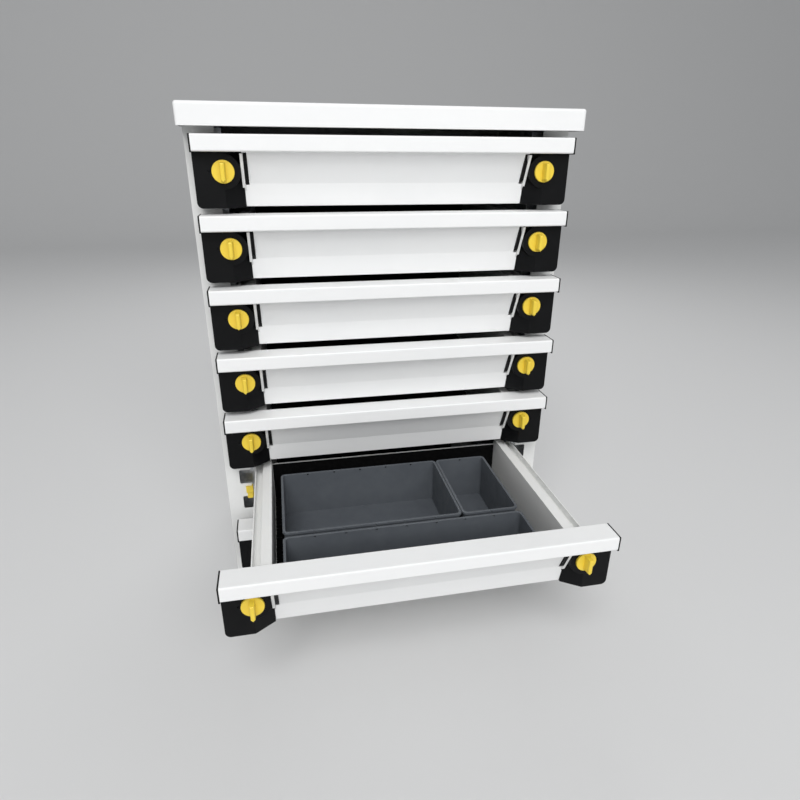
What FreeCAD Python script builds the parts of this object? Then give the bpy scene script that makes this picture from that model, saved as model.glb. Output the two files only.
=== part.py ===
import FreeCAD, Part
import math
import os
import re
import Sketcher

# Seven-drawer steel cabinet with quarter-turn drawer locks.
#
# Cabinet frame: X to the right, the fronts face -Y, Z up.  The origin is the
# centre of the footprint of the side panels, on the surface that it stands on.
# Drawer frame: X as above, y = 0 at the front face of the pull rail and growing
# backwards, z = 0 at the top of the pull rail.

TOP_DRAWER = 1
OPEN_DRAWER = 6

SIZES = [
    # carcass
    ("cabinet_width", 526.0), ("cabinet_depth", 285.0), ("base_height", 37.8),
    ("side_sheet", 1.5), ("flange_gap", 3.5), ("rear_flange", 20.0),
    ("seam_gap", 0.2), ("cap_side_reach", 2.2), ("cap_front_reach", 43.0),
    ("cap_rear_reach", 2.0), ("cap_lip", 27.0), ("cap_round", 4.0), ("cap_hem", 10.0),
    ("base_turn_in", 22.0), ("floor_bolt_radius", 4.5), ("floor_bolt_inset", 13.0),
    ("back_rib_depth", 3.0), ("back_rib_width", 30.0),
    # windows of the front flange, below the rail top of each drawer
    ("window_inset", 20.5), ("window_top", 12.5), ("tab_top", 37.5), ("tab_bottom", 61.0),
    ("slot_inset", 22.5), ("window_bottom", 84.0), ("window_round", 3.0),
    # yellow catch pushed up over the tab between the windows
    ("catch_inset", 34.5), ("catch_width", 11.0), ("catch_top", 42.0), ("catch_head", 11.0),
    ("catch_front", 3.4), ("catch_foot_front", 2.2), ("catch_foot_width", 8.0),
    ("catch_rear", 2.8), ("catch_bridge", 2.6),
    # drawers
    ("drawer_count", 7.0), ("front_gap", 8.7), ("front_height", 86.5),
    ("rail_reach", 47.0), ("open_rest", 247.0),
    # folded drawer front with its pull rail
    ("rail_inset", 13.0), ("rail_depth", 33.0), ("rail_height", 20.0),
    ("rail_return", 12.0), ("rail_hem", 8.0), ("front_sheet", 1.5), ("rail_round", 2.2),
    ("crease_drop", 58.0), ("crease_setback", 29.0), ("band_setback", 35.0),
    ("foot_return", 15.0), ("panel_gap", 0.2),
    ("lever_slot_width", 6.4), ("lever_slot_top", 21.0), ("lever_slot_bottom", 59.5),
    # corner blocks
    ("cheek", 2.0), ("block_face", 16.0), ("block_gap", 0.4), ("block_overhang", 1.0),
    ("block_corner", 7.5), ("block_wall", 2.5), ("bevel_setback", 17.0), ("boss_radius", 21.5),
    ("plug_offset", 8.0), ("plug_gap", 0.3), ("dimple_radius", 1.6), ("dimple_depth", 1.5),
    ("dimple_offset", 17.0),
    # quarter-turn lock knob
    ("knob_inset", 47.0), ("knob_drop", 43.3), ("knob_radius", 14.0), ("knob_face", 12.5),
    ("knob_seat_gap", 0.3), ("grip_width", 7.0), ("grip_tip", 0.5), ("grip_round", 1.6),
    ("shaft_radius", 5.0), ("running_gap", 0.08),
    ("cam_front", 53.0), ("cam_thickness", 5.0), ("cam_reach", 24.0), ("cam_width", 9.0),
    # tray
    ("tray_inset", 71.0), ("tray_sheet", 1.5), ("tray_start", 37.5), ("tray_rear_gap", 23.5),
    ("tray_top", 4.0), ("floor_rise", 6.5), ("ledge_width", 13.5), ("lip_gap", 1.9),
    ("groove_depth", 10.0), ("tray_back_drop", 14.0), ("tray_front_turn", 16.0),
    ("tongue_rise", 3.0), ("tongue_return", 2.2), ("tongue_top", 22.0), ("tongue_bottom", 67.0),
    ("tongue_round", 4.0),
    # three-part telescopic runners: cabinet member, middle member, ledges on the tray
    ("runner_top", 31.0), ("runner_height", 36.0), ("runner_sheet", 1.6), ("runner_gap", 0.4),
    ("runner_inset", 45.6), ("runner_start", 62.0), ("runner_rear_gap", 10.0),
    ("runner_flange", 13.4), ("middle_flange", 19.4),
    ("lug_gap", 1.2), ("lug_length", 12.0),
    # square uprights that carry the runners
    ("post_width", 30.0), ("post_wall", 1.5), ("post_front", 70.0), ("post_gap", 0.1),
    # release bar
    ("bar_setback", 24.0), ("bar_drop", 10.0), ("bar_radius", 3.0), ("bar_seat", 6.0),
    ("lever_offset", 5.7), ("lever_width", 4.0), ("lever_rise", 3.0), ("lever_top", 29.0),
    ("lever_bottom", 57.0), ("lever_chamfer", 3.0),
    ("hook_gap", 2.0), ("hook_width", 4.0), ("nose_front", 66.0), ("nose_length", 6.0),
    ("nose_gap", 0.3),
    # removable bins of the open drawer
    ("bin_side_gap", 15.2), ("bin_module", 82.8), ("bin_front", 38.5), ("front_bin_depth", 56.9),
    ("bin_row_gap", 7.5), ("rear_bin_depth", 156.5), ("bin_top", 8.0), ("bin_wall", 1.6),
    ("bin_rim", 3.4), ("bin_rim_height", 3.0), ("bin_gap", 0.8), ("bin_corner", 7.0),
    ("bin_hole_radius", 1.5), ("bin_hole_drop", 2.4),
    # screws through the side panels into the uprights
    ("screw_radius", 3.0), ("screw_hole_gap", 0.05), ("screw_head_radius", 5.5),
    ("screw_head_height", 2.2), ("screw_length", 8.0), ("screw_end_margin", 60.0),
]
SCREW_ROWS = 4

# places and sizes that follow from the cells above
DERIVED = {
    "pitch": "(front_height + front_gap)",
    "cap_underside": "(base_height + pitch * drawer_count + front_gap)",
    "side_height": "(cap_underside + cap_lip - side_sheet - seam_gap)",
    "screw_spacing": "((cap_underside - base_height - 2 * screw_end_margin) / %d)" % (SCREW_ROWS - 1),
    "front_flange": "(knob_inset - shaft_radius - flange_gap)",
    "flange_edge": "(cabinet_width / 2 - front_flange)",
    "catch_centre": "(cabinet_width / 2 - catch_inset)",
    "rail_length": "(cabinet_width - 2 * rail_inset)",
    "knob_centre": "(cabinet_width / 2 - knob_inset)",
    "block_back": "(rail_reach - seam_gap - catch_front - block_gap)",
    "block_drop": "(front_height + block_overhang)",
    "recess_slope": "((crease_setback - rail_return) / (crease_drop - rail_height))",
    "plug_start": "(tray_half + plug_offset)",
    "bar_half": "(plug_start + bar_seat)",
    "lever_inner": "(tray_half - lever_offset)",
    "hook_inner": "(tray_half + hook_gap)",
    "tray_half": "(cabinet_width / 2 - tray_inset)",
    "tray_length": "(rail_reach + cabinet_depth - tray_rear_gap - tray_start)",
    "tray_floor": "(front_height - floor_rise)",
    "runner_outer": "(cabinet_width / 2 - runner_inset)",
    "runner_length": "(rail_reach + cabinet_depth - runner_rear_gap - runner_start)",
    "lug_inner": "(tray_half + lug_gap)",
    "post_rear": "(rail_reach + cabinet_depth - runner_rear_gap - post_width)",
    "bin_left": "(-tray_half + bin_side_gap)",
}
NAME = r"[a-z][a-z_]+"

doc = FreeCAD.newDocument("DrawerCabinet")
sheet = doc.addObject("Spreadsheet::Sheet", "Sizes")
for row, (alias, value) in enumerate(SIZES, start=1):
    sheet.set("A%d" % row, alias)
    sheet.set("B%d" % row, str(value))
    sheet.setAlias("B%d" % row, alias)
doc.recompute()

nodes = []
UP_Z = FreeCAD.Vector(0, 0, 1)
DRAWERS = int(sheet.get("drawer_count"))


# ---------------------------------------------------------------- helpers

def cells(text):
    """Expression text with derived names written out and each size pointing at its cell."""
    while any(name in DERIVED for name in re.findall(NAME, text)):
        text = re.sub(NAME, lambda word: DERIVED.get(word.group(0), word.group(0)), text)
    return re.sub(NAME, lambda word: "Sizes." + word.group(0), text)


def bind(item, path, text):
    item.setExpression(path, cells(text))


def keep(item, label):
    """Register a finished sub-part under its node name."""
    item.Label = label
    if item.Label != label:
        raise ValueError(label + " is already used")
    nodes.append(item)
    return item


def new_body(name):
    body = doc.addObject("PartDesign::Body", name)
    body.AllowCompound = True
    return body


def origin_item(body, role):
    for item in body.Origin.OriginFeatures:
        if item.Role == role:
            return item
    raise ValueError(role)


def new_sketch(body, role, offset="0"):
    """Sketch on an origin plane of its body, moved along the plane's normal.
    XY: normal +Z.  XZ: normal -Y.  YZ: normal +X."""
    sketch = body.newObject("Sketcher::SketchObject", body.Name + "_sketch")
    sketch.AttachmentSupport = [(origin_item(body, role), "")]
    sketch.MapMode = "FlatFace"
    bind(sketch, "AttachmentOffset.Base.z", offset)
    return sketch


def pin_point(sketch, curve, end, x, y):
    for kind, text in (("DistanceX", x), ("DistanceY", y)):
        index = sketch.addConstraint(Sketcher.Constraint(kind, -1, 1, curve, end, 1.0))
        bind(sketch, "Constraints[%d]" % index, text)


def add_polygon(sketch, corners):
    """Closed outline whose corners are pinned to sheet expressions."""
    first = sketch.GeometryCount
    count = len(corners)
    ring = []
    for k in range(count):
        turn = 2 * math.pi * k / count
        ring.append(FreeCAD.Vector(100 * math.cos(turn), 100 * math.sin(turn), 0))
    for k in range(count):
        sketch.addGeometry(Part.LineSegment(ring[k], ring[(k + 1) % count]))
    for k in range(count):
        after = first + (k + 1) % count
        sketch.addConstraint(Sketcher.Constraint("Coincident", first + k, 2, after, 1))
    for k, (x, y) in enumerate(corners):
        pin_point(sketch, first + k, 1, x, y)


def add_rectangle(sketch, left, right, low, high):
    add_polygon(sketch, [(left, low), (right, low), (right, high), (left, high)])


def add_circle(sketch, x, y, radius):
    curve = sketch.addGeometry(Part.Circle(FreeCAD.Vector(1, 1, 0), FreeCAD.Vector(0, 0, 1), 1))
    pin_point(sketch, curve, 3, x, y)
    index = sketch.addConstraint(Sketcher.Constraint("Radius", curve, 1.0))
    bind(sketch, "Constraints[%d]" % index, radius)


def pad(body, sketch, length, along_normal=True):
    feature = body.newObject("PartDesign::Pad", body.Name + "_pad")
    feature.Profile = sketch
    bind(feature, "Length", length)
    feature.Reversed = not along_normal
    sketch.Visibility = False
    return feature


def pocket(body, sketch, length, along_normal):
    doc.recompute()
    before = body.Tip.Shape.Volume
    feature = body.newObject("PartDesign::Pocket", body.Name + "_pocket")
    feature.Profile = sketch
    bind(feature, "Length", length)
    # an unreversed pocket cuts against the sketch's normal
    feature.Reversed = along_normal
    doc.recompute()
    if not feature.Shape.Volume < before - 1e-3:
        raise ValueError("nothing was cut from " + body.Name)
    return feature


def round_edges(body, wanted, radius):
    """Fillet the edges of the body's tip that pass a test."""
    doc.recompute()
    base = body.Tip
    names = ["Edge%d" % k for k, edge in enumerate(base.Shape.Edges, start=1) if wanted(edge)]
    if not names:
        raise ValueError("no edge to round on " + body.Name)
    feature = body.newObject("PartDesign::Fillet", body.Name + "_fillet")
    feature.Base = (base, names)
    bind(feature, "Radius", radius)
    return feature


def repeat(body, features, role, spacing, count):
    """Copies of features in a straight row along an origin axis."""
    feature = body.newObject("PartDesign::LinearPattern", body.Name + "_row")
    feature.Originals = features
    feature.Direction = (origin_item(body, role), [""])
    bind(feature, "Length", "(%s) * %d" % (spacing, count - 1))
    feature.Occurrences = count
    body.Tip = feature
    return feature


def mirror_of(source):
    """The same piece on the other side of the cabinet's middle plane."""
    mirror = doc.addObject("Part::Mirroring", source.Name + "_mirror")
    mirror.Source = source
    mirror.Normal = FreeCAD.Vector(1, 0, 0)
    return mirror


def group(pieces, name):
    compound = doc.addObject("Part::Compound", name)
    compound.Links = pieces
    return compound


def runs_along(axis):
    """Edge test: straight and parallel to an axis."""
    def test(edge):
        if edge.Curve.TypeId != "Part::GeomLine":
            return False
        return abs(abs(edge.tangentAt(edge.FirstParameter).dot(axis)) - 1) < 1e-6
    return test


def rail_top_height(number):
    return "base_height + pitch * (drawer_count - %d)" % (number - 1)


def place_in_drawer(item, number):
    """Put a piece that is drawn in the drawer frame into its drawer."""
    pulled = "open_rest" if number == OPEN_DRAWER else "0"
    bind(item, "Placement.Base.y", "-cabinet_depth / 2 - rail_reach - " + pulled)
    bind(item, "Placement.Base.z", rail_top_height(number))


def place_in_cabinet(item):
    """Put a piece that is drawn in the bottom drawer's closed frame."""
    bind(item, "Placement.Base.y", "-cabinet_depth / 2 - rail_reach")
    bind(item, "Placement.Base.z", rail_top_height(DRAWERS))


# ---------------------------------------------------------------- carcass

def side_panel():
    """Right side: one folded sheet with a wide front flange and a rear flange."""
    body = new_body("side_panel")
    sketch = new_sketch(body, "XY_Plane")
    add_polygon(sketch, [
        ("cabinet_width / 2 - front_flange", "-cabinet_depth / 2"),
        ("cabinet_width / 2", "-cabinet_depth / 2"),
        ("cabinet_width / 2", "cabinet_depth / 2"),
        ("cabinet_width / 2 - rear_flange", "cabinet_depth / 2"),
        ("cabinet_width / 2 - rear_flange", "cabinet_depth / 2 - side_sheet"),
        ("cabinet_width / 2 - side_sheet", "cabinet_depth / 2 - side_sheet"),
        ("cabinet_width / 2 - side_sheet", "-cabinet_depth / 2 + side_sheet"),
        ("cabinet_width / 2 - front_flange", "-cabinet_depth / 2 + side_sheet"),
    ])
    pad(body, sketch, "side_height")
    doc.recompute()
    windows = new_sketch(body, "XZ_Plane", "cabinet_depth / 2")
    top = rail_top_height(DRAWERS)
    add_rectangle(windows, "flange_edge - 1", "cabinet_width / 2 - window_inset",
                  top + " - tab_top", top + " - window_top")
    add_rectangle(windows, "flange_edge - 1", "cabinet_width / 2 - slot_inset",
                  top + " - window_bottom", top + " - tab_bottom")
    cut = pocket(body, windows, "side_sheet", False)
    repeat(body, [cut], "Z_Axis", "pitch", DRAWERS)
    doc.recompute()
    thickness = sheet.get("side_sheet")
    across = runs_along(FreeCAD.Vector(0, 1, 0))
    box = body.Tip.Shape.BoundBox

    def window_corner(edge):
        point = edge.Vertexes[0].Point
        on_flange = box.XMin + 0.1 < point.x < box.XMax - 0.1 and point.y < 0
        return across(edge) and edge.Length < thickness + 0.01 and on_flange

    round_edges(body, window_corner, "window_round")
    holes = new_sketch(body, "YZ_Plane", "cabinet_width / 2")
    for setback in ("post_front", "post_rear"):
        add_circle(holes, "-cabinet_depth / 2 - rail_reach + %s + post_width / 2" % setback,
                   "base_height + screw_end_margin", "screw_radius + screw_hole_gap")
    drill = pocket(body, holes, "side_sheet", False)
    repeat(body, [drill], "Z_Axis", "screw_spacing", SCREW_ROWS)
    return body


def side_panels():
    right = keep(side_panel(), "side_right")
    keep(mirror_of(right), "side_left")


def back_panel():
    """Flat sheet between the rear flanges, stiffened by three pressed ribs."""
    body = new_body("back_panel")
    sketch = new_sketch(body, "XZ_Plane", "-cabinet_depth / 2 + 2 * side_sheet + seam_gap")
    half = "cabinet_width / 2 - side_sheet - seam_gap"
    add_rectangle(sketch, "-(%s)" % half, half, "base_height + seam_gap",
                  "side_height - seam_gap")
    pad(body, sketch, "side_sheet", False)
    ribs = new_sketch(body, "XZ_Plane", "-cabinet_depth / 2 + 2 * side_sheet + seam_gap")
    for share in ("-0.5", "0", "0.5"):
        centre = "%s * (%s)" % (share, half)
        add_rectangle(ribs, centre + " - back_rib_width / 2", centre + " + back_rib_width / 2",
                      "base_height + 2 * back_rib_width", "side_height - 2 * back_rib_width")
    pad(body, ribs, "back_rib_depth")
    keep(body, "back_panel")


def top_cap():
    """Folded lid whose lips hang over the side panels and in front of them."""
    body = new_body("top_cap")
    half = "cabinet_width / 2 + cap_side_reach"
    front = "-cabinet_depth / 2 - cap_front_reach"
    back = "cabinet_depth / 2 + cap_rear_reach"
    outer = new_sketch(body, "XY_Plane", "cap_underside")
    add_rectangle(outer, "-(%s)" % half, half, front, back)
    pad(body, outer, "cap_lip")
    round_edges(body, runs_along(UP_Z), "cap_round")
    doc.recompute()
    crown = body.Tip.Shape.BoundBox.ZMax
    round_edges(body, lambda edge: edge.BoundBox.ZMin > crown - 0.01, "cap_round - 0.5")
    hollow = new_sketch(body, "XY_Plane", "cap_underside")
    inset = "side_sheet"
    add_rectangle(hollow, "-(%s) + %s" % (half, inset), half + " - " + inset,
                  front + " + " + inset, back + " - " + inset)
    pocket(body, hollow, "cap_lip - side_sheet", True)
    hem = new_sketch(body, "XY_Plane", "cap_underside")
    add_rectangle(hem, "-cabinet_width / 2 + front_flange", "cabinet_width / 2 - front_flange",
                  front + " + " + inset, front + " + " + inset + " + cap_hem")
    pad(body, hem, "side_sheet")
    keep(body, "top_cap")


def base_panel():
    """Pressed floor pan with skirts and turned-in feet that carry four bolt holes."""
    body = new_body("base_panel")
    half = "cabinet_width / 2 - side_sheet - seam_gap"
    front = "-cabinet_depth / 2 + side_sheet + seam_gap"
    back = "cabinet_depth / 2 - side_sheet - seam_gap"
    outer = new_sketch(body, "XY_Plane")
    add_rectangle(outer, "-(%s)" % half, half, front, back)
    pad(body, outer, "base_height")
    hollow = new_sketch(body, "XY_Plane", "side_sheet")
    add_rectangle(hollow, "-(%s) + side_sheet" % half, half + " - side_sheet",
                  front + " + side_sheet", back + " - side_sheet")
    pocket(body, hollow, "base_height - 2 * side_sheet", True)
    mouth = new_sketch(body, "XY_Plane")
    add_rectangle(mouth, "-(%s) + base_turn_in" % half, half + " - base_turn_in",
                  front + " + base_turn_in", back + " - base_turn_in")
    pocket(body, mouth, "side_sheet", True)
    holes = new_sketch(body, "XY_Plane")
    for x in ("-(%s) + floor_bolt_inset" % half, half + " - floor_bolt_inset"):
        for y in (front + " + floor_bolt_inset", back + " - floor_bolt_inset"):
            add_circle(holes, x, y, "floor_bolt_radius")
    pocket(body, holes, "side_sheet", True)
    keep(body, "base_panel")


def post(name, setback):
    """Square upright between a side panel and the runners' outer faces."""
    body = new_body(name)
    front = "-cabinet_depth / 2 - rail_reach + " + setback
    inner = "runner_outer + post_gap"
    outer = "cabinet_width / 2 - side_sheet"
    sketch = new_sketch(body, "XY_Plane", "base_height")
    add_rectangle(sketch, inner, outer, front, front + " + post_width")
    add_rectangle(sketch, inner + " + post_wall", outer + " - post_wall",
                  front + " + post_wall", front + " + post_width - post_wall")
    pad(body, sketch, "cap_underside - base_height")
    holes = new_sketch(body, "YZ_Plane", outer)
    add_circle(holes, front + " + post_width / 2", "base_height + screw_end_margin",
               "screw_radius + screw_hole_gap")
    drill = pocket(body, holes, "post_wall", False)
    repeat(body, [drill], "Z_Axis", "screw_spacing", SCREW_ROWS)
    return body


def uprights():
    right = [post("post_front", "post_front"), post("post_rear", "post_rear")]
    left = [mirror_of(item) for item in right]
    keep(group(right + left, "uprights"), "uprights")


def catches():
    """Yellow clips pushed up over the flange's tabs; the lock cams bear on them."""
    body = new_body("catch")
    left = "catch_centre - catch_width / 2"
    right = "catch_centre + catch_width / 2"
    flange_front = "-rail_reach"
    low = "-tab_bottom - seam_gap - catch_bridge"
    face = flange_front + " + seam_gap"
    head = new_sketch(body, "XZ_Plane", face)
    add_rectangle(head, left, right, "-catch_top - catch_head", "-catch_top")
    clip = pad(body, head, "catch_front")
    foot = new_sketch(body, "XZ_Plane", face)
    add_rectangle(foot, "catch_centre - catch_foot_width / 2", "catch_centre + catch_foot_width / 2",
                  low, "-catch_top - catch_head + 1")
    toe = pad(body, foot, "catch_foot_front")
    bridge = new_sketch(body, "XZ_Plane", face)
    add_rectangle(bridge, "catch_centre - catch_foot_width / 2", "catch_centre + catch_foot_width / 2",
                  low, "-tab_bottom - seam_gap")
    span = pad(body, bridge, "side_sheet + 2 * seam_gap + catch_rear", False)
    rear = new_sketch(body, "XZ_Plane", flange_front + " - side_sheet - seam_gap")
    add_rectangle(rear, left, right, low, "-catch_top")
    leg = pad(body, rear, "catch_rear", False)
    repeat(body, [clip, toe, span, leg], "Z_Axis", "pitch", DRAWERS)
    place_in_cabinet(body)
    keep(group([body, mirror_of(body)], "lock_catches"), "lock_catches")


def channel(sketch, outer, top, height, wall, flange):
    """Section in XZ of a channel that opens towards the drawer."""
    outer = "(%s)" % outer
    top = "(%s)" % top
    low = "(%s - (%s))" % (top, height)
    add_polygon(sketch, [
        (outer, low), (outer, top),
        ("%s - %s" % (outer, flange), top),
        ("%s - %s" % (outer, flange), "%s - %s" % (top, wall)),
        ("%s - %s" % (outer, wall), "%s - %s" % (top, wall)),
        ("%s - %s" % (outer, wall), "%s + %s" % (low, wall)),
        ("%s - %s" % (outer, flange), "%s + %s" % (low, wall)),
        ("%s - %s" % (outer, flange), low),
    ])


def cabinet_runners():
    """Fixed channels of the telescopic runners, each with the lug for a release hook."""
    body = new_body("cabinet_runner")
    section = new_sketch(body, "XZ_Plane", "-runner_start")
    channel(section, "runner_outer", "-runner_top", "runner_height", "runner_sheet", "runner_flange")
    bar = pad(body, section, "runner_length", False)
    lug = new_sketch(body, "XZ_Plane", "-runner_start")
    add_rectangle(lug, "lug_inner", "runner_outer - runner_flange + 1",
                  "-runner_top - runner_sheet", "-runner_top")
    ear = pad(body, lug, "lug_length", False)
    repeat(body, [bar, ear], "Z_Axis", "pitch", DRAWERS)
    place_in_cabinet(body)
    keep(group([body, mirror_of(body)], "cabinet_runners"), "cabinet_runners")


def side_screws():
    """Pan-head screws that hold the side panels to the uprights."""
    body = new_body("screw")
    stems = new_sketch(body, "YZ_Plane", "cabinet_width / 2")
    heads = new_sketch(body, "YZ_Plane", "cabinet_width / 2")
    for setback in ("post_front", "post_rear"):
        y = "-cabinet_depth / 2 - rail_reach + %s + post_width / 2" % setback
        add_circle(stems, y, "base_height + screw_end_margin", "screw_radius")
        add_circle(heads, y, "base_height + screw_end_margin", "screw_head_radius")
    head = pad(body, heads, "screw_head_height")
    stem = pad(body, stems, "screw_length", False)
    repeat(body, [head, stem], "Z_Axis", "screw_spacing", SCREW_ROWS)
    keep(group([body, mirror_of(body)], "side_screws"), "side_screws")


# ---------------------------------------------------------------- one drawer

def drawer_front(number):
    """Folded front: hollow pull rail, inclined recess, lower band and foot."""
    body = new_body("front_%d" % number)
    section = new_sketch(body, "YZ_Plane", "-rail_length / 2")
    add_polygon(section, [
        ("rail_depth", "-rail_hem"), ("rail_depth", "0"), ("0", "0"), ("0", "-rail_height"),
        ("rail_return", "-rail_height"), ("crease_setback", "-crease_drop"),
        ("band_setback", "-front_height"), ("band_setback + foot_return", "-front_height"),
        ("band_setback + foot_return", "-front_height + front_sheet"),
        ("band_setback + front_sheet", "-front_height + front_sheet"),
        ("crease_setback + front_sheet", "-crease_drop"),
        ("rail_return + front_sheet", "-rail_height + front_sheet"),
        ("front_sheet", "-rail_height + front_sheet"), ("front_sheet", "-front_sheet"),
        ("rail_depth - front_sheet", "-front_sheet"), ("rail_depth - front_sheet", "-rail_hem"),
    ])
    pad(body, section, "rail_length")
    doc.recompute()
    deep = "band_setback + foot_return + 2"
    trims = new_sketch(body, "XZ_Plane")
    inner = "tray_half - lever_slot_width"
    edge = "tray_half - panel_gap"
    beside_tongue = "tray_half - tray_sheet - panel_gap"
    below_tongue = "-tongue_bottom - panel_gap"
    outer = "rail_length / 2 + 1"
    right_trim = [
        (outer, "-rail_height"), (edge, "-rail_height"), (edge, "-lever_slot_top"),
        (inner, "-lever_slot_top"), (inner, "-lever_slot_bottom"),
        (beside_tongue, "-lever_slot_bottom"), (beside_tongue, below_tongue), (edge, below_tongue),
        (edge, "-front_height - 1"), (outer, "-front_height - 1"),
    ]
    left_trim = [("-(%s)" % x, z) for x, z in right_trim]
    for trim in (right_trim, left_trim):
        add_polygon(trims, trim)
    pocket(body, trims, deep, False)
    box = body.Tip.Shape.BoundBox
    along = runs_along(FreeCAD.Vector(1, 0, 0))

    def rail_edge(item):
        whole = item.Length > box.XLength - 0.01
        return along(item) and whole and item.BoundBox.YMax < box.YMin + 0.01

    round_edges(body, rail_edge, "rail_round")
    place_in_drawer(body, number)
    keep(body, "drawer_%d_front" % number)


def ahead_of_recess(drop, rise):
    """y of a point at a drop below the rail top and a distance ahead of the inclined recess."""
    return "rail_return + (%s - rail_height) * recess_slope - (%s)" % (drop, rise)


def tray_section():
    """Half of the tray's folded sheet, from the middle of the floor to the outer lip."""
    step = "tray_half - tray_sheet + ledge_width"
    lip = "runner_outer - lip_gap - tray_sheet"
    return [
        ("0", "-tray_floor"), ("tray_half - tray_sheet", "-tray_floor"),
        ("tray_half - tray_sheet", "-tray_top"), (step, "-tray_top"),
        (step, "-tray_top - groove_depth"), (lip, "-tray_top - groove_depth"),
        (lip, "-tray_top"), (lip + " + tray_sheet", "-tray_top"),
        (lip + " + tray_sheet", "-tray_top - groove_depth - tray_sheet"),
        (step + " - tray_sheet", "-tray_top - groove_depth - tray_sheet"),
        (step + " - tray_sheet", "-tray_top - tray_sheet"), ("tray_half", "-tray_top - tray_sheet"),
        ("tray_half", "-tray_floor - tray_sheet"), ("0", "-tray_floor - tray_sheet"),
    ]


def drawer_tray(number):
    """Tray with grooved side walls, runner ledges, a back wall and front tongues."""
    body = new_body("tray_%d" % number)
    half = tray_section()
    other = [("-(%s)" % x, z) for x, z in half]
    section = new_sketch(body, "XZ_Plane", "-tray_start")
    add_polygon(section, half[1:-1] + other[-2:0:-1])
    pad(body, section, "tray_length", False)
    back = new_sketch(body, "XZ_Plane", "-tray_start - tray_length")
    add_rectangle(back, "-tray_half", "tray_half", "-tray_floor - tray_sheet", "-tray_back_drop")
    pad(body, back, "tray_sheet", False)
    turn = new_sketch(body, "XZ_Plane", "-tray_start")
    add_rectangle(turn, "-tray_half + 0.5", "tray_half - 0.5", "-tray_floor - 0.5",
                  "-tray_floor + tray_front_turn")
    pad(body, turn, "tray_sheet", False)
    ledge_low = "-runner_top - runner_height + 2 * (runner_sheet + runner_gap)"
    ledge_high = "-runner_top - 2 * (runner_sheet + runner_gap)"
    reach = "runner_outer - 2 * (runner_sheet + runner_gap)"
    ledges = new_sketch(body, "XZ_Plane", "-runner_start")
    tongues = new_sketch(body, "YZ_Plane", "tray_half - tray_sheet")
    mirrored_tongues = new_sketch(body, "YZ_Plane", "-tray_half")
    for low in (ledge_low, ledge_high + " - runner_sheet"):
        add_rectangle(ledges, "tray_half - 0.5", reach, low, low + " + runner_sheet")
        add_rectangle(ledges, "-(%s)" % reach, "-tray_half + 0.5", low, low + " + runner_sheet")
    pad(body, ledges, "tray_start + tray_length - runner_start", False)
    low_edge = ahead_of_recess("tongue_bottom - tongue_round", "tongue_rise")
    high_edge = ahead_of_recess("tongue_top", "tongue_rise")
    for item in (tongues, mirrored_tongues):
        add_polygon(item, [
            ("tray_start + 1", "-tongue_bottom"),
            (low_edge + " + tongue_round", "-tongue_bottom"), (low_edge, "-tongue_bottom + tongue_round"),
            (high_edge, "-tongue_top"), ("tray_start + 1", "-tongue_top"),
        ])
        pad(body, item, "tray_sheet")
    for start in ("tray_half - 0.5", "-tray_half - tongue_return"):
        turned = new_sketch(body, "YZ_Plane", start)
        add_polygon(turned, [
            (low_edge, "-tongue_bottom + tongue_round"), (high_edge, "-tongue_top"),
            (high_edge + " + tray_sheet", "-tongue_top"),
            (low_edge + " + tray_sheet", "-tongue_bottom + tongue_round"),
        ])
        pad(body, turned, "tongue_return + 0.5")
    place_in_drawer(body, number)
    keep(body, "drawer_%d_tray" % number)


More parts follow.
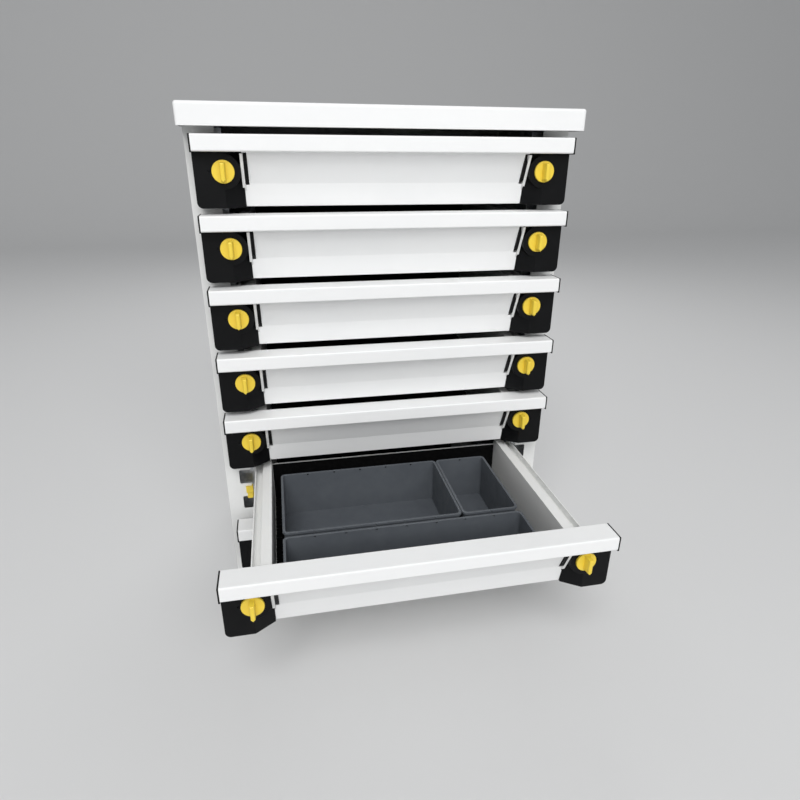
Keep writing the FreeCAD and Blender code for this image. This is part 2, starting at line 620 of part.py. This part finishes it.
def corner_block(number):
    """Right corner block: body under the rail, plug and cheek in the rail's end."""
    body = new_body("block_%d" % number)
    outer = "rail_length / 2 + cheek"
    face = new_sketch(body, "XZ_Plane", "-block_face")
    add_rectangle(face, "tray_half", outer, "-block_drop", "-rail_height")
    pad(body, face, "block_back - block_face", False)
    doc.recompute()
    box = body.Tip.Shape.BoundBox
    across = runs_along(FreeCAD.Vector(0, 1, 0))

    def outer_corner(edge):
        point = edge.Vertexes[0].Point
        return across(edge) and point.x > box.XMax - 0.01 and point.z < box.ZMin + 0.01

    round_edges(body, outer_corner, "block_corner")
    doc.recompute()
    bevel = new_sketch(body, "XY_Plane", "-block_drop - 1")
    add_polygon(bevel, [
        ("knob_centre", "block_face"), ("tray_half - 1", "block_face - 1"),
        ("tray_half - 1", "block_face + bevel_setback"),
    ])
    pocket(body, bevel, "block_drop - rail_height + 2", True)
    hollow = new_sketch(body, "XY_Plane", "-block_drop + block_wall")
    right = outer + " - block_wall"
    add_polygon(hollow, [
        ("tray_half + block_wall", "block_back + 1"), (right, "block_back + 1"),
        (right, "block_face + block_wall"), ("knob_centre", "block_face + block_wall"),
        ("tray_half + block_wall", "block_face + bevel_setback + block_wall"),
    ])
    pocket(body, hollow, "block_drop - rail_height - 1 - 2 * block_wall", True)
    inner_low = box.ZMin + sheet.get("block_wall")
    inner_side = box.XMax - sheet.get("block_wall")

    def inner_corner(edge):
        point = edge.Vertexes[0].Point
        return across(edge) and abs(point.x - inner_side) < 0.01 and abs(point.z - inner_low) < 0.01

    round_edges(body, inner_corner, "block_corner - block_wall")
    boss = new_sketch(body, "XZ_Plane", "-block_face")
    add_circle(boss, "knob_centre", "-knob_drop", "boss_radius")
    pad(body, boss, "bevel_setback + block_wall", False)
    plug = new_sketch(body, "YZ_Plane", "plug_start")
    inside = "front_sheet + plug_gap"
    add_polygon(plug, [
        ("rail_return + 2 * front_sheet", "-rail_height - 1"),
        ("rail_depth - %s" % inside, "-rail_height - 1"),
        ("rail_depth - (%s)" % inside, "-(%s)" % inside),
        (inside, "-(%s)" % inside),
        (inside, "-rail_height + %s" % inside),
        ("rail_return + 2 * front_sheet", "-rail_height + %s" % inside),
    ])
    pad(body, plug, "rail_length / 2 - plug_start")
    cheek = new_sketch(body, "YZ_Plane", "rail_length / 2")
    add_rectangle(cheek, "0", "rail_depth", "-rail_height - 1", "0")
    pad(body, cheek, "cheek")
    bore = new_sketch(body, "XZ_Plane", "-block_face")
    add_circle(bore, "knob_centre", "-knob_drop", "shaft_radius + running_gap")
    pocket(body, bore, "block_back - block_face", False)
    dimple = new_sketch(body, "XZ_Plane", "-block_face")
    add_circle(dimple, "knob_centre + dimple_offset", "-knob_drop", "dimple_radius")
    pocket(body, dimple, "dimple_depth", False)
    bearing = new_sketch(body, "YZ_Plane", "plug_start")
    add_circle(bearing, "bar_setback", "-bar_drop", "bar_radius + running_gap")
    pocket(body, bearing, "bar_half - plug_start + 1", True)
    return body


def corner_blocks(number):
    right = corner_block(number)
    pair = group([right, mirror_of(right)], "blocks_%d" % number)
    place_in_drawer(pair, number)
    keep(pair, "drawer_%d_corner_blocks" % number)


def lock_knob(number, side, name):
    """Quarter-turn knob: disc, tapered grip, shaft through the block and cam behind it."""
    body = new_body("knob_%d_%s" % (number, name))
    centre = "%d * knob_centre" % side
    seat = "block_face - knob_seat_gap"
    disc = new_sketch(body, "XZ_Plane", "-(%s)" % seat)
    add_circle(disc, centre, "-knob_drop", "knob_radius")
    pad(body, disc, seat + " - knob_face")
    round_edges(body, lambda edge: edge.Curve.TypeId == "Part::GeomCircle"
                and edge.BoundBox.YMin < sheet.get("knob_face") + 0.01, "0.8")
    grip = new_sketch(body, "XZ_Plane", "-knob_face")
    reach = "(knob_radius - 0.6)"
    add_polygon(grip, [
        (centre + " - grip_width / 2", "-knob_drop - %s + grip_width / 2" % reach),
        (centre, "-knob_drop - " + reach),
        (centre + " + grip_width / 2", "-knob_drop - %s + grip_width / 2" % reach),
        (centre + " + grip_width / 2", "-knob_drop + %s - grip_width / 3" % reach),
        (centre + " - grip_width / 2", "-knob_drop + %s - grip_width / 3" % reach),
    ])
    ridge = pad(body, grip, "knob_face - grip_tip")
    ridge.TaperAngle = -4
    tip = sheet.get("grip_tip")
    round_edges(body, lambda edge: edge.BoundBox.YMax < tip + 0.01, "grip_round")
    shaft = new_sketch(body, "XZ_Plane", "-(%s)" % seat)
    add_circle(shaft, centre, "-knob_drop", "shaft_radius")
    pad(body, shaft, "cam_front + cam_thickness - (%s)" % seat, False)
    cam = new_sketch(body, "XZ_Plane", "-cam_front")
    add_rectangle(cam, centre + " - cam_width / 2", centre + " + cam_width / 2",
                  "-knob_drop - cam_reach", "-knob_drop + cam_width / 2")
    pad(body, cam, "cam_thickness", False)
    low = -sheet.get("knob_drop") - sheet.get("cam_reach")
    across = runs_along(FreeCAD.Vector(0, 1, 0))
    round_edges(body, lambda edge: across(edge) and abs(edge.Vertexes[0].Point.z - low) < 0.01,
                "cam_width / 2 - 0.5")
    place_in_drawer(body, number)
    keep(body, "drawer_%d_knob_%s" % (number, name))


def release_bar(number):
    """Cross bar in the rail with a finger tab and a hook at each end."""
    body = new_body("bar_%d" % number)
    rod = new_sketch(body, "YZ_Plane", "-bar_half")
    add_circle(rod, "bar_setback", "-bar_drop", "bar_radius")
    pad(body, rod, "2 * bar_half")
    behind = "bar_setback + bar_radius + 0.5"
    lever = [
        (behind, "-bar_drop + bar_radius"), (behind, "-bar_drop - 2 * bar_radius"),
        (ahead_of_recess("lever_bottom - lever_chamfer", "-lever_rise"), "-lever_bottom + lever_chamfer"),
        (ahead_of_recess("lever_bottom", "-1"), "-lever_bottom"),
        (ahead_of_recess("lever_bottom", "1"), "-lever_bottom"),
        (ahead_of_recess("lever_bottom - lever_chamfer", "lever_rise"), "-lever_bottom + lever_chamfer"),
        (ahead_of_recess("lever_top + lever_chamfer", "lever_rise"), "-lever_top - lever_chamfer"),
        (ahead_of_recess("lever_top", "0"), "-lever_top"),
        ("rail_return + 5.5", "-bar_drop - 2 * bar_radius"),
        ("bar_setback - bar_radius - 0.5", "-bar_drop + bar_radius"),
    ]
    under_block = "-rail_height + nose_gap + 0.3"
    nose_low = "-runner_top + nose_gap"
    hook = [
        ("bar_setback - bar_radius - 0.5", "-bar_drop + bar_radius"),
        ("bar_setback - bar_radius - 0.5", "-bar_drop - bar_radius"),
        ("bar_setback", under_block), ("block_back + 4", under_block),
        ("nose_front", nose_low), ("nose_front + nose_length", nose_low),
        ("nose_front + nose_length", nose_low + " + 7"),
        ("block_back + 7", "-bar_drop - bar_radius"),
        ("rail_depth + 1", "-bar_drop - bar_radius"),
        ("bar_setback + bar_radius + 0.5", "-bar_drop + bar_radius"),
    ]
    for outline, inner, width in ((lever, "lever_inner", "lever_width"),
                                  (hook, "hook_inner", "hook_width")):
        for start in (inner, "-%s - %s" % (inner, width)):
            plate = new_sketch(body, "YZ_Plane", start)
            add_polygon(plate, outline)
            pad(body, plate, width)
    place_in_drawer(body, number)
    keep(body, "drawer_%d_release_bar" % number)


def middle_runners(number):
    """Intermediate channels that carry the tray and travel half its way."""
    body = new_body("middle_%d" % number)
    nest = "(runner_sheet + runner_gap)"
    section = new_sketch(body, "XZ_Plane", "-runner_start")
    channel(section, "runner_outer - %s" % nest, "-runner_top - %s" % nest,
            "runner_height - 2 * %s" % nest, "runner_sheet", "middle_flange")
    pad(body, section, "runner_length", False)
    pair = group([body, mirror_of(body)], "middles_%d" % number)
    pulled = "open_rest / 2" if number == OPEN_DRAWER else "0"
    bind(pair, "Placement.Base.y", "-cabinet_depth / 2 - rail_reach - " + pulled)
    bind(pair, "Placement.Base.z", rail_top_height(number))
    keep(pair, "drawer_%d_middle_runners" % number)


# ---------------------------------------------------------------- bins

def bin_body(name, first, modules, front, depth):
    """Open bin with a rim, rounded corners and a row of divider holes."""
    body = new_body(name)
    left = "bin_left + %d * bin_module" % first
    right = "bin_left + %d * bin_module - bin_gap" % (first + modules)
    rear = "%s + %s" % (front, depth)
    rim = new_sketch(body, "XY_Plane", "-bin_top - bin_rim_height")
    add_rectangle(rim, left, right, front, rear)
    pad(body, rim, "bin_rim_height")
    inset = "bin_rim - bin_wall"
    wall = new_sketch(body, "XY_Plane", "-tray_floor")
    add_rectangle(wall, "%s + (%s)" % (left, inset), "%s - (%s)" % (right, inset),
                  "%s + (%s)" % (front, inset), "%s - (%s)" % (rear, inset))
    pad(body, wall, "tray_floor - bin_top - bin_rim_height")
    doc.recompute()
    hollow = new_sketch(body, "XY_Plane", "-tray_floor + bin_wall")
    add_rectangle(hollow, left + " + bin_rim", right + " - bin_rim",
                  front + " + bin_rim", rear + " - bin_rim")
    pocket(body, hollow, "tray_floor", True)
    box = body.Tip.Shape.BoundBox
    inner = sheet.get("bin_rim")
    upright = runs_along(UP_Z)

    def depth_from_side(edge):
        point = edge.Vertexes[0].Point
        return min(point.x - box.XMin, box.XMax - point.x)

    round_edges(body, lambda edge: upright(edge) and depth_from_side(edge) > inner - 0.01,
                "bin_corner - bin_wall")
    round_edges(body, lambda edge: upright(edge) and depth_from_side(edge) < inner - 0.1,
                "bin_corner")
    holes = new_sketch(body, "XZ_Plane", "-(%s) + 1" % front)
    add_circle(holes, left + " + bin_module / 2", "-bin_top - bin_hole_drop", "bin_hole_radius")
    drill = pocket(body, holes, depth + " + 2", False)
    if modules > 1:
        repeat(body, [drill], "X_Axis", "bin_module / 2", 2 * modules - 1)
    place_in_drawer(body, OPEN_DRAWER)
    return body


def bins():
    rear = "bin_front + front_bin_depth + bin_row_gap"
    keep(bin_body("bin_front", 0, 4, "bin_front", "front_bin_depth"), "front_bin")
    wide = bin_body("bin_wide", 0, 3, rear, "rear_bin_depth")
    small = bin_body("bin_small", 3, 1, rear, "rear_bin_depth")
    keep(group([wide, small], "rear_bins"), "rear_bins")


# ---------------------------------------------------------------- build and export

side_panels()
back_panel()
top_cap()
base_panel()
uprights()
catches()
cabinet_runners()
side_screws()
for number in range(TOP_DRAWER, DRAWERS + 1):
    drawer_front(number)
    drawer_tray(number)
    corner_blocks(number)
    release_bar(number)
    middle_runners(number)
    lock_knob(number, -1, "left")
    lock_knob(number, 1, "right")
bins()
doc.recompute()

for item in doc.Objects:
    if "Invalid" in item.State or "Error" in item.State:
        raise ValueError("%s did not recompute: %s" % (item.Name, item.State))
for node in nodes:
    if node.Shape.isNull() or not node.Shape.isValid():
        raise ValueError("bad shape in " + node.Label)

os.makedirs("parts", exist_ok=True)
for node in nodes:
    node.Shape.exportStep("parts/%s.step" % node.Label)
print(len(nodes), "nodes written")
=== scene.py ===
import math

import bpy
from mathutils import Matrix, Vector


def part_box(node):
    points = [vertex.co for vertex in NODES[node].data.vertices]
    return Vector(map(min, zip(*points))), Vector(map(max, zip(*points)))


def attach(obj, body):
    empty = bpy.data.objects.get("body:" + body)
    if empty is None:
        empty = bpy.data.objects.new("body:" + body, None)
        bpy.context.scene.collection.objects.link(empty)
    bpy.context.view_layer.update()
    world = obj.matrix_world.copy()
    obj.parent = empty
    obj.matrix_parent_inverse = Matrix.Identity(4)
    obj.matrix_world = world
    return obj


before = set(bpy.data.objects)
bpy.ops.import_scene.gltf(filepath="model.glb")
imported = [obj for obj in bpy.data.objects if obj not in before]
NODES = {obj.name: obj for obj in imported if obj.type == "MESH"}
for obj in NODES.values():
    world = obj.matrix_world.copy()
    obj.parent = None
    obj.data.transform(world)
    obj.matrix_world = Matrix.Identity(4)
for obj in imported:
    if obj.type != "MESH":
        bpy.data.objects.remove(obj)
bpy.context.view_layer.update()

DRAWERS = 7
OPEN_DRAWER = 6

# inside of a tray, measured from the front face and the top of its pull rail
TRAY_HALF = 0.1905
FLOOR_DROP = 0.0800
FLOOR_FRONT = 0.0395
FLOOR_REAR = 0.3065
BACK_WALL_DROP = 0.0140

# ribbed mat on the tray floor
MAT_GAP = 0.0010
MAT_SHEET = 0.0012
RIB_HEIGHT = 0.0016
RIB_PITCH = 0.0085
RIB_WIDTH = 0.0042
RIB_SLOPE = 0.0007

BIN_LAP = 0.0020
SLAB_SEAM = 0.0005

# painted shade: a black rubber sheet over the tray's back wall stands in for the shadow of the drawer
# above; the mat ends just in front of it
SHADE_SHEET_GAP = 0.0004
SHADE_SHEET_THICKNESS = 0.0012

# camera: metres, degrees and millimetres
CAMERA_PLACE = (-0.1552, -0.9898, 0.6841)
CAMERA_YAW = 11.651
CAMERA_PITCH = 22.984
CAMERA_ROLL = 0.358
LENS = 26.23
SENSOR = 36.0

# floor sheet: flat to the bend, then a quarter circle and a wall
FLOOR_HALF_WIDTH = 9.0
FLOOR_START = -9.0
FLOOR_BEND = 4.0
BEND_RADIUS = 2.5
BEND_STEPS = 16
WALL_TOP = 7.0

# lights: degrees above the floor and round from the front, then metres, metres and watts
LIGHT_TARGET = (0.0, -0.15, 0.40)
LIGHTS = {
    "key": dict(elevation=50, azimuth=-18, distance=6.0, size=2.8, power=170),
    "fill": dict(elevation=30, azimuth=8, distance=4.5, size=2.6, power=74),
    "back": dict(elevation=35, azimuth=170, distance=2.8, size=1.6, power=14),
}
SKY = (0.96, 0.98, 1.0, 1.0)
SKY_STRENGTH = 0.36


# ---------------------------------------------------------------- camera

def place_camera():
    """Wide view from the upper left, aimed down at the open drawer."""
    yaw, pitch, roll = (math.radians(turn) for turn in (CAMERA_YAW, CAMERA_PITCH, CAMERA_ROLL))
    forward = Vector((math.sin(yaw) * math.cos(pitch), math.cos(yaw) * math.cos(pitch), -math.sin(pitch)))
    right = Vector((math.cos(yaw), -math.sin(yaw), 0.0))
    up = right.cross(forward)
    side = right * math.cos(roll) + up * math.sin(roll)
    top = up * math.cos(roll) - right * math.sin(roll)
    data = bpy.data.cameras.new("camera")
    data.sensor_width = SENSOR
    data.lens = LENS
    data.clip_start = 0.01
    camera = bpy.data.objects.new("camera", data)
    camera.matrix_world = Matrix.Translation(CAMERA_PLACE) @ Matrix(
        (side, top, -forward)).transposed().to_4x4()
    bpy.context.collection.objects.link(camera)
    bpy.context.scene.camera = camera


# ---------------------------------------------------------------- materials

class Finish:
    """A procedural material on one Principled shader, in the piece's own coordinates."""

    def __init__(self, name, metallic=0.0, specular=0.5):
        self.material = bpy.data.materials.new(name)
        self.material.use_nodes = True
        self.tree = self.material.node_tree
        self.shader = self.tree.nodes["Principled BSDF"]
        self.shader.inputs["Metallic"].default_value = metallic
        self.shader.inputs["Specular IOR Level"].default_value = specular
        self.place = self.tree.nodes.new("ShaderNodeTexCoord").outputs["Object"]
        self.normal = None

    def noise(self, scale, detail=2.0, stretch=(1, 1, 1), roughness=0.5):
        """Noise value from 0 to 1; scale is in waves per metre."""
        mapping = self.tree.nodes.new("ShaderNodeMapping")
        mapping.inputs["Scale"].default_value = stretch
        self.tree.links.new(self.place, mapping.inputs["Vector"])
        node = self.tree.nodes.new("ShaderNodeTexNoise")
        node.inputs["Scale"].default_value = scale
        node.inputs["Detail"].default_value = detail
        node.inputs["Roughness"].default_value = roughness
        self.tree.links.new(mapping.outputs["Vector"], node.inputs["Vector"])
        return node.outputs["Fac"]

    def cells(self, scale):
        """Colour of irregular cells, for plated steel."""
        node = self.tree.nodes.new("ShaderNodeTexVoronoi")
        node.inputs["Scale"].default_value = scale
        self.tree.links.new(self.place, node.inputs["Vector"])
        return node.outputs["Color"]

    def between(self, value, low, high, at=(0.3, 0.7)):
        """The value stretched from its range `at` to low..high."""
        node = self.tree.nodes.new("ShaderNodeMapRange")
        self.tree.links.new(value, node.inputs["Value"])
        for key, number in (("From Min", at[0]), ("From Max", at[1]), ("To Min", low), ("To Max", high)):
            node.inputs[key].default_value = number
        return node.outputs["Result"]

    def colours(self, value, stops):
        """Colour ramp over the value."""
        node = self.tree.nodes.new("ShaderNodeValToRGB")
        ramp = node.color_ramp
        while len(ramp.elements) < len(stops):
            ramp.elements.new(0.5)
        for element, (position, colour) in zip(ramp.elements, stops):
            element.position = position
            element.color = (*colour, 1.0)
        self.tree.links.new(value, node.inputs["Fac"])
        return node.outputs["Color"]

    def colour(self, value, stops):
        """Base colour from a ramp over the value."""
        self.tree.links.new(self.colours(value, stops), self.shader.inputs["Base Color"])

    def rough(self, value, low, high):
        """Roughness between two limits, following the value."""
        self.tree.links.new(self.between(value, low, high), self.shader.inputs["Roughness"])

    def soft_edges(self, radius):
        """Rounds the look of sharp edges."""
        node = self.tree.nodes.new("ShaderNodeBevel")
        node.samples = 4
        node.inputs["Radius"].default_value = radius
        self.normal = node.outputs["Normal"]
        self.tree.links.new(self.normal, self.shader.inputs["Normal"])

    def bump(self, value, height, strength=1.0):
        """Relief of the given height in metres."""
        node = self.tree.nodes.new("ShaderNodeBump")
        node.inputs["Strength"].default_value = strength
        node.inputs["Distance"].default_value = height
        self.tree.links.new(value, node.inputs["Height"])
        if self.normal:
            self.tree.links.new(self.normal, node.inputs["Normal"])
        self.normal = node.outputs["Normal"]
        self.tree.links.new(self.normal, self.shader.inputs["Normal"])


def powder_coat(name, light, dark, roughness):
    """Baked powder paint: orange peel, faint cloudiness and a few scuffs in the gloss."""
    finish = Finish(name, specular=0.45)
    finish.colour(finish.noise(9, 4), [(0.3, dark), (0.7, light)])
    finish.rough(finish.noise(120, 5, (1, 1, 4), 0.65), roughness - 0.06, roughness + 0.10)
    finish.soft_edges(0.0006)
    finish.bump(finish.noise(620, 2), 0.00006, 0.55)
    finish.bump(finish.noise(14, 2), 0.0012, 0.05)
    return finish.material


def moulded(name, light, dark, roughness, grain, relief, specular=0.5):
    """Moulded plastic: fine spark-eroded grain, slow colour drift and rubbed patches."""
    finish = Finish(name, specular=specular)
    finish.colour(finish.noise(35, 5, roughness=0.6), [(0.32, dark), (0.68, light)])
    finish.rough(finish.noise(60, 4), roughness - 0.08, roughness + 0.08)
    finish.soft_edges(0.0005)
    finish.bump(finish.noise(grain, 2), relief, 0.5)
    return finish.material


def zinc_plate(name):
    """Bright zinc on rolled steel: crystal patches under fine lengthwise drawing marks."""
    finish = Finish(name, metallic=1.0)
    finish.colour(finish.cells(210), [(0.1, (0.50, 0.52, 0.55)), (0.9, (0.70, 0.71, 0.73))])
    finish.rough(finish.noise(90, 5, (6, 1, 6)), 0.28, 0.46)
    finish.soft_edges(0.0003)
    finish.bump(finish.noise(900, 2, (1, 0.05, 1)), 0.00003, 0.5)
    return finish.material


def rubber(name):
    """Black mat rubber with dust in its grain."""
    finish = Finish(name, specular=0.10)
    finish.colour(finish.noise(240, 5, roughness=0.7),
                  [(0.45, (0.0016, 0.0016, 0.0018)), (0.8, (0.007, 0.007, 0.007))])
    finish.rough(finish.noise(80, 3), 0.62, 0.82)
    finish.soft_edges(0.0003)
    finish.bump(finish.noise(1900, 3), 0.00008, 0.5)
    return finish.material


FINISHES = {
    "white_steel": powder_coat("white_powder_coat", (0.87, 0.873, 0.87), (0.845, 0.85, 0.85),
                               roughness=0.40),
    "grey_steel": powder_coat("grey_powder_coat", (0.82, 0.82, 0.805), (0.79, 0.795, 0.785),
                              roughness=0.44),
    "black_plastic": moulded("black_moulded", (0.0030, 0.0032, 0.0038), (0.0018, 0.0020, 0.0024),
                             roughness=0.46, grain=1700, relief=0.00006, specular=0.16),
    "yellow_plastic": moulded("yellow_moulded", (0.87, 0.65, 0.062), (0.83, 0.60, 0.052),
                              roughness=0.38, grain=1300, relief=0.00003),
    "grey_plastic": moulded("grey_moulded", (0.100, 0.110, 0.123), (0.086, 0.095, 0.108),
                            roughness=0.44, grain=1500, relief=0.00005, specular=0.35),
    "zinc_steel": zinc_plate("zinc_plate"),
    "rubber": rubber("mat_rubber"),
}


def finish_nodes():
    """Gives every CAD node the finish of its slot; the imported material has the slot's name."""
    for item in NODES.values():
        for place in item.material_slots:
            place.material = FINISHES[place.material.name.split(".")[0]]


# ---------------------------------------------------------------- pieces

def add_mesh(name, vertices, faces, finish, body):
    """One piece of the object that rides on a body."""
    mesh = bpy.data.meshes.new(name)
    mesh.from_pydata(vertices, [], faces)
    mesh.validate()
    mesh.materials.append(FINISHES[finish])
    piece = bpy.data.objects.new(name, mesh)
    bpy.context.collection.objects.link(piece)
    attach(piece, body)
    return piece


def rib_outline(front, rear, floor):
    """(y, z) points along the top of a ribbed mat, from its front edge to its rear edge."""
    low, high = floor + MAT_SHEET, floor + MAT_SHEET + RIB_HEIGHT
    points = [(front, low)]
    y = front + RIB_PITCH - RIB_WIDTH
    while y + RIB_WIDTH < rear - RIB_SLOPE:
        points += [(y, low), (y + RIB_SLOPE, high), (y + RIB_WIDTH - RIB_SLOPE, high), (y + RIB_WIDTH, low)]
        y += RIB_PITCH
    return points + [(rear, low)]


def add_slab(vertices, faces, left, right, front, rear, floor):
    """One closed ribbed slab, as quads."""
    outline = rib_outline(front, rear, floor)
    start = len(vertices)
    for y, z in outline:
        vertices += [(left, y, z), (right, y, z), (left, y, floor), (right, y, floor)]
    for step in range(len(outline) - 1):
        a = start + 4 * step
        b = a + 4
        faces += [(a, a + 1, b + 1, b), (a + 2, b + 2, b + 3, a + 3),
                  (a, b, b + 2, a + 2), (a + 1, a + 3, b + 3, b + 1)]
    last = start + 4 * (len(outline) - 1)
    faces += [(start, start + 2, start + 3, start + 1), (last, last + 1, last + 3, last + 2)]


def add_block(vertices, faces, low, high):
    """One closed box between two corners."""
    start = len(vertices)
    vertices += [(x, y, z) for x in (low[0], high[0]) for y in (low[1], high[1]) for z in (low[2], high[2])]
    faces += [tuple(start + corner for corner in side) for side in (
        (0, 1, 3, 2), (4, 6, 7, 5), (0, 4, 5, 1), (2, 3, 7, 6), (0, 2, 6, 4), (1, 5, 7, 3))]


def drawer_origin(number):
    """Front face and top of the drawer's pull rail, in metres."""
    low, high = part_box("drawer_%d_front" % number)
    return low.y, high.z


def add_mat(number):
    """Ribbed mat on the tray floor; in the open drawer it fills what the bins leave free. A black sheet
    over the back wall is painted shade for the shadow of the drawer above.
    """
    y, z = drawer_origin(number)
    floor = z - FLOOR_DROP
    left, right = -TRAY_HALF + MAT_GAP, TRAY_HALF - MAT_GAP
    front, rear = y + FLOOR_FRONT + MAT_GAP, y + FLOOR_REAR - SHADE_SHEET_GAP - SHADE_SHEET_THICKNESS
    vertices, faces = [], []
    if number != OPEN_DRAWER:
        add_slab(vertices, faces, left, right, front, rear, floor)
    else:
        near_low, near_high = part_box("front_bin")
        far_low, far_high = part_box("rear_bins")
        bins_left = min(near_low.x, far_low.x) + BIN_LAP
        bins_right = max(near_high.x, far_high.x) - BIN_LAP
        add_slab(vertices, faces, left, bins_left, front, rear, floor)
        add_slab(vertices, faces, bins_right, right, front, rear, floor)
        add_slab(vertices, faces, bins_left + SLAB_SEAM, bins_right - SLAB_SEAM, far_high.y, rear, floor)
    # painted shade: black sheet covering the back wall, standing in for the shadow cast by the drawer above
    wall = y + FLOOR_REAR - SHADE_SHEET_GAP
    add_block(vertices, faces, (left, wall - SHADE_SHEET_THICKNESS, floor + MAT_SHEET / 2),
              (right, wall, z - BACK_WALL_DROP))
    add_mesh("drawer_%d_mat" % number, vertices, faces, "rubber", "drawer_%d" % number)


# ---------------------------------------------------------------- stage

def make_floor():
    """Plain pale floor that sweeps up far behind the cabinet."""
    outline = [(FLOOR_START, 0.0), (FLOOR_BEND, 0.0)]
    for step in range(1, BEND_STEPS + 1):
        turn = math.pi / 2 * step / BEND_STEPS
        outline.append((FLOOR_BEND + BEND_RADIUS * math.sin(turn),
                        BEND_RADIUS - BEND_RADIUS * math.cos(turn)))
    outline.append((FLOOR_BEND + BEND_RADIUS, WALL_TOP))
    vertices = [(side * FLOOR_HALF_WIDTH, y, z) for y, z in outline for side in (-1, 1)]
    faces = [(2 * k, 2 * k + 1, 2 * k + 3, 2 * k + 2) for k in range(len(outline) - 1)]
    mesh = bpy.data.meshes.new("floor")
    mesh.from_pydata(vertices, [], faces)
    for polygon in mesh.polygons:
        polygon.use_smooth = True
    floor = bpy.data.objects.new("floor", mesh)
    bpy.context.collection.objects.link(floor)
    material = bpy.data.materials.new("floor_paper")
    material.use_nodes = True
    shader = material.node_tree.nodes["Principled BSDF"]
    shader.inputs["Base Color"].default_value = (0.66, 0.66, 0.66, 1)
    shader.inputs["Roughness"].default_value = 0.9
    mesh.materials.append(material)


def add_light(name, elevation, azimuth, distance, size, power):
    """Soft square light; azimuth 0 is in front of the cabinet and grows to the right."""
    target = Vector(LIGHT_TARGET)
    flat = distance * math.cos(math.radians(elevation))
    away = Vector((flat * math.sin(math.radians(azimuth)), -flat * math.cos(math.radians(azimuth)),
                   distance * math.sin(math.radians(elevation))))
    data = bpy.data.lights.new(name, "AREA")
    data.shape = "SQUARE"
    data.size = size
    data.energy = power
    light = bpy.data.objects.new(name, data)
    light.matrix_world = Matrix.Translation(target + away) @ (-away).to_track_quat(
        "-Z", "Y").to_matrix().to_4x4()
    bpy.context.collection.objects.link(light)


def light_stage():
    """Even pale surroundings and the soft lights."""
    world = bpy.data.worlds.new("studio")
    world.use_nodes = True
    world.node_tree.nodes["Background"].inputs["Color"].default_value = SKY
    world.node_tree.nodes["Background"].inputs["Strength"].default_value = SKY_STRENGTH
    bpy.context.scene.world = world
    bpy.context.scene.view_settings.view_transform = "Standard"
    for name, settings in LIGHTS.items():
        add_light(name, **settings)


place_camera()
finish_nodes()
for drawer in range(1, DRAWERS + 1):
    add_mat(drawer)
make_floor()
light_stage()
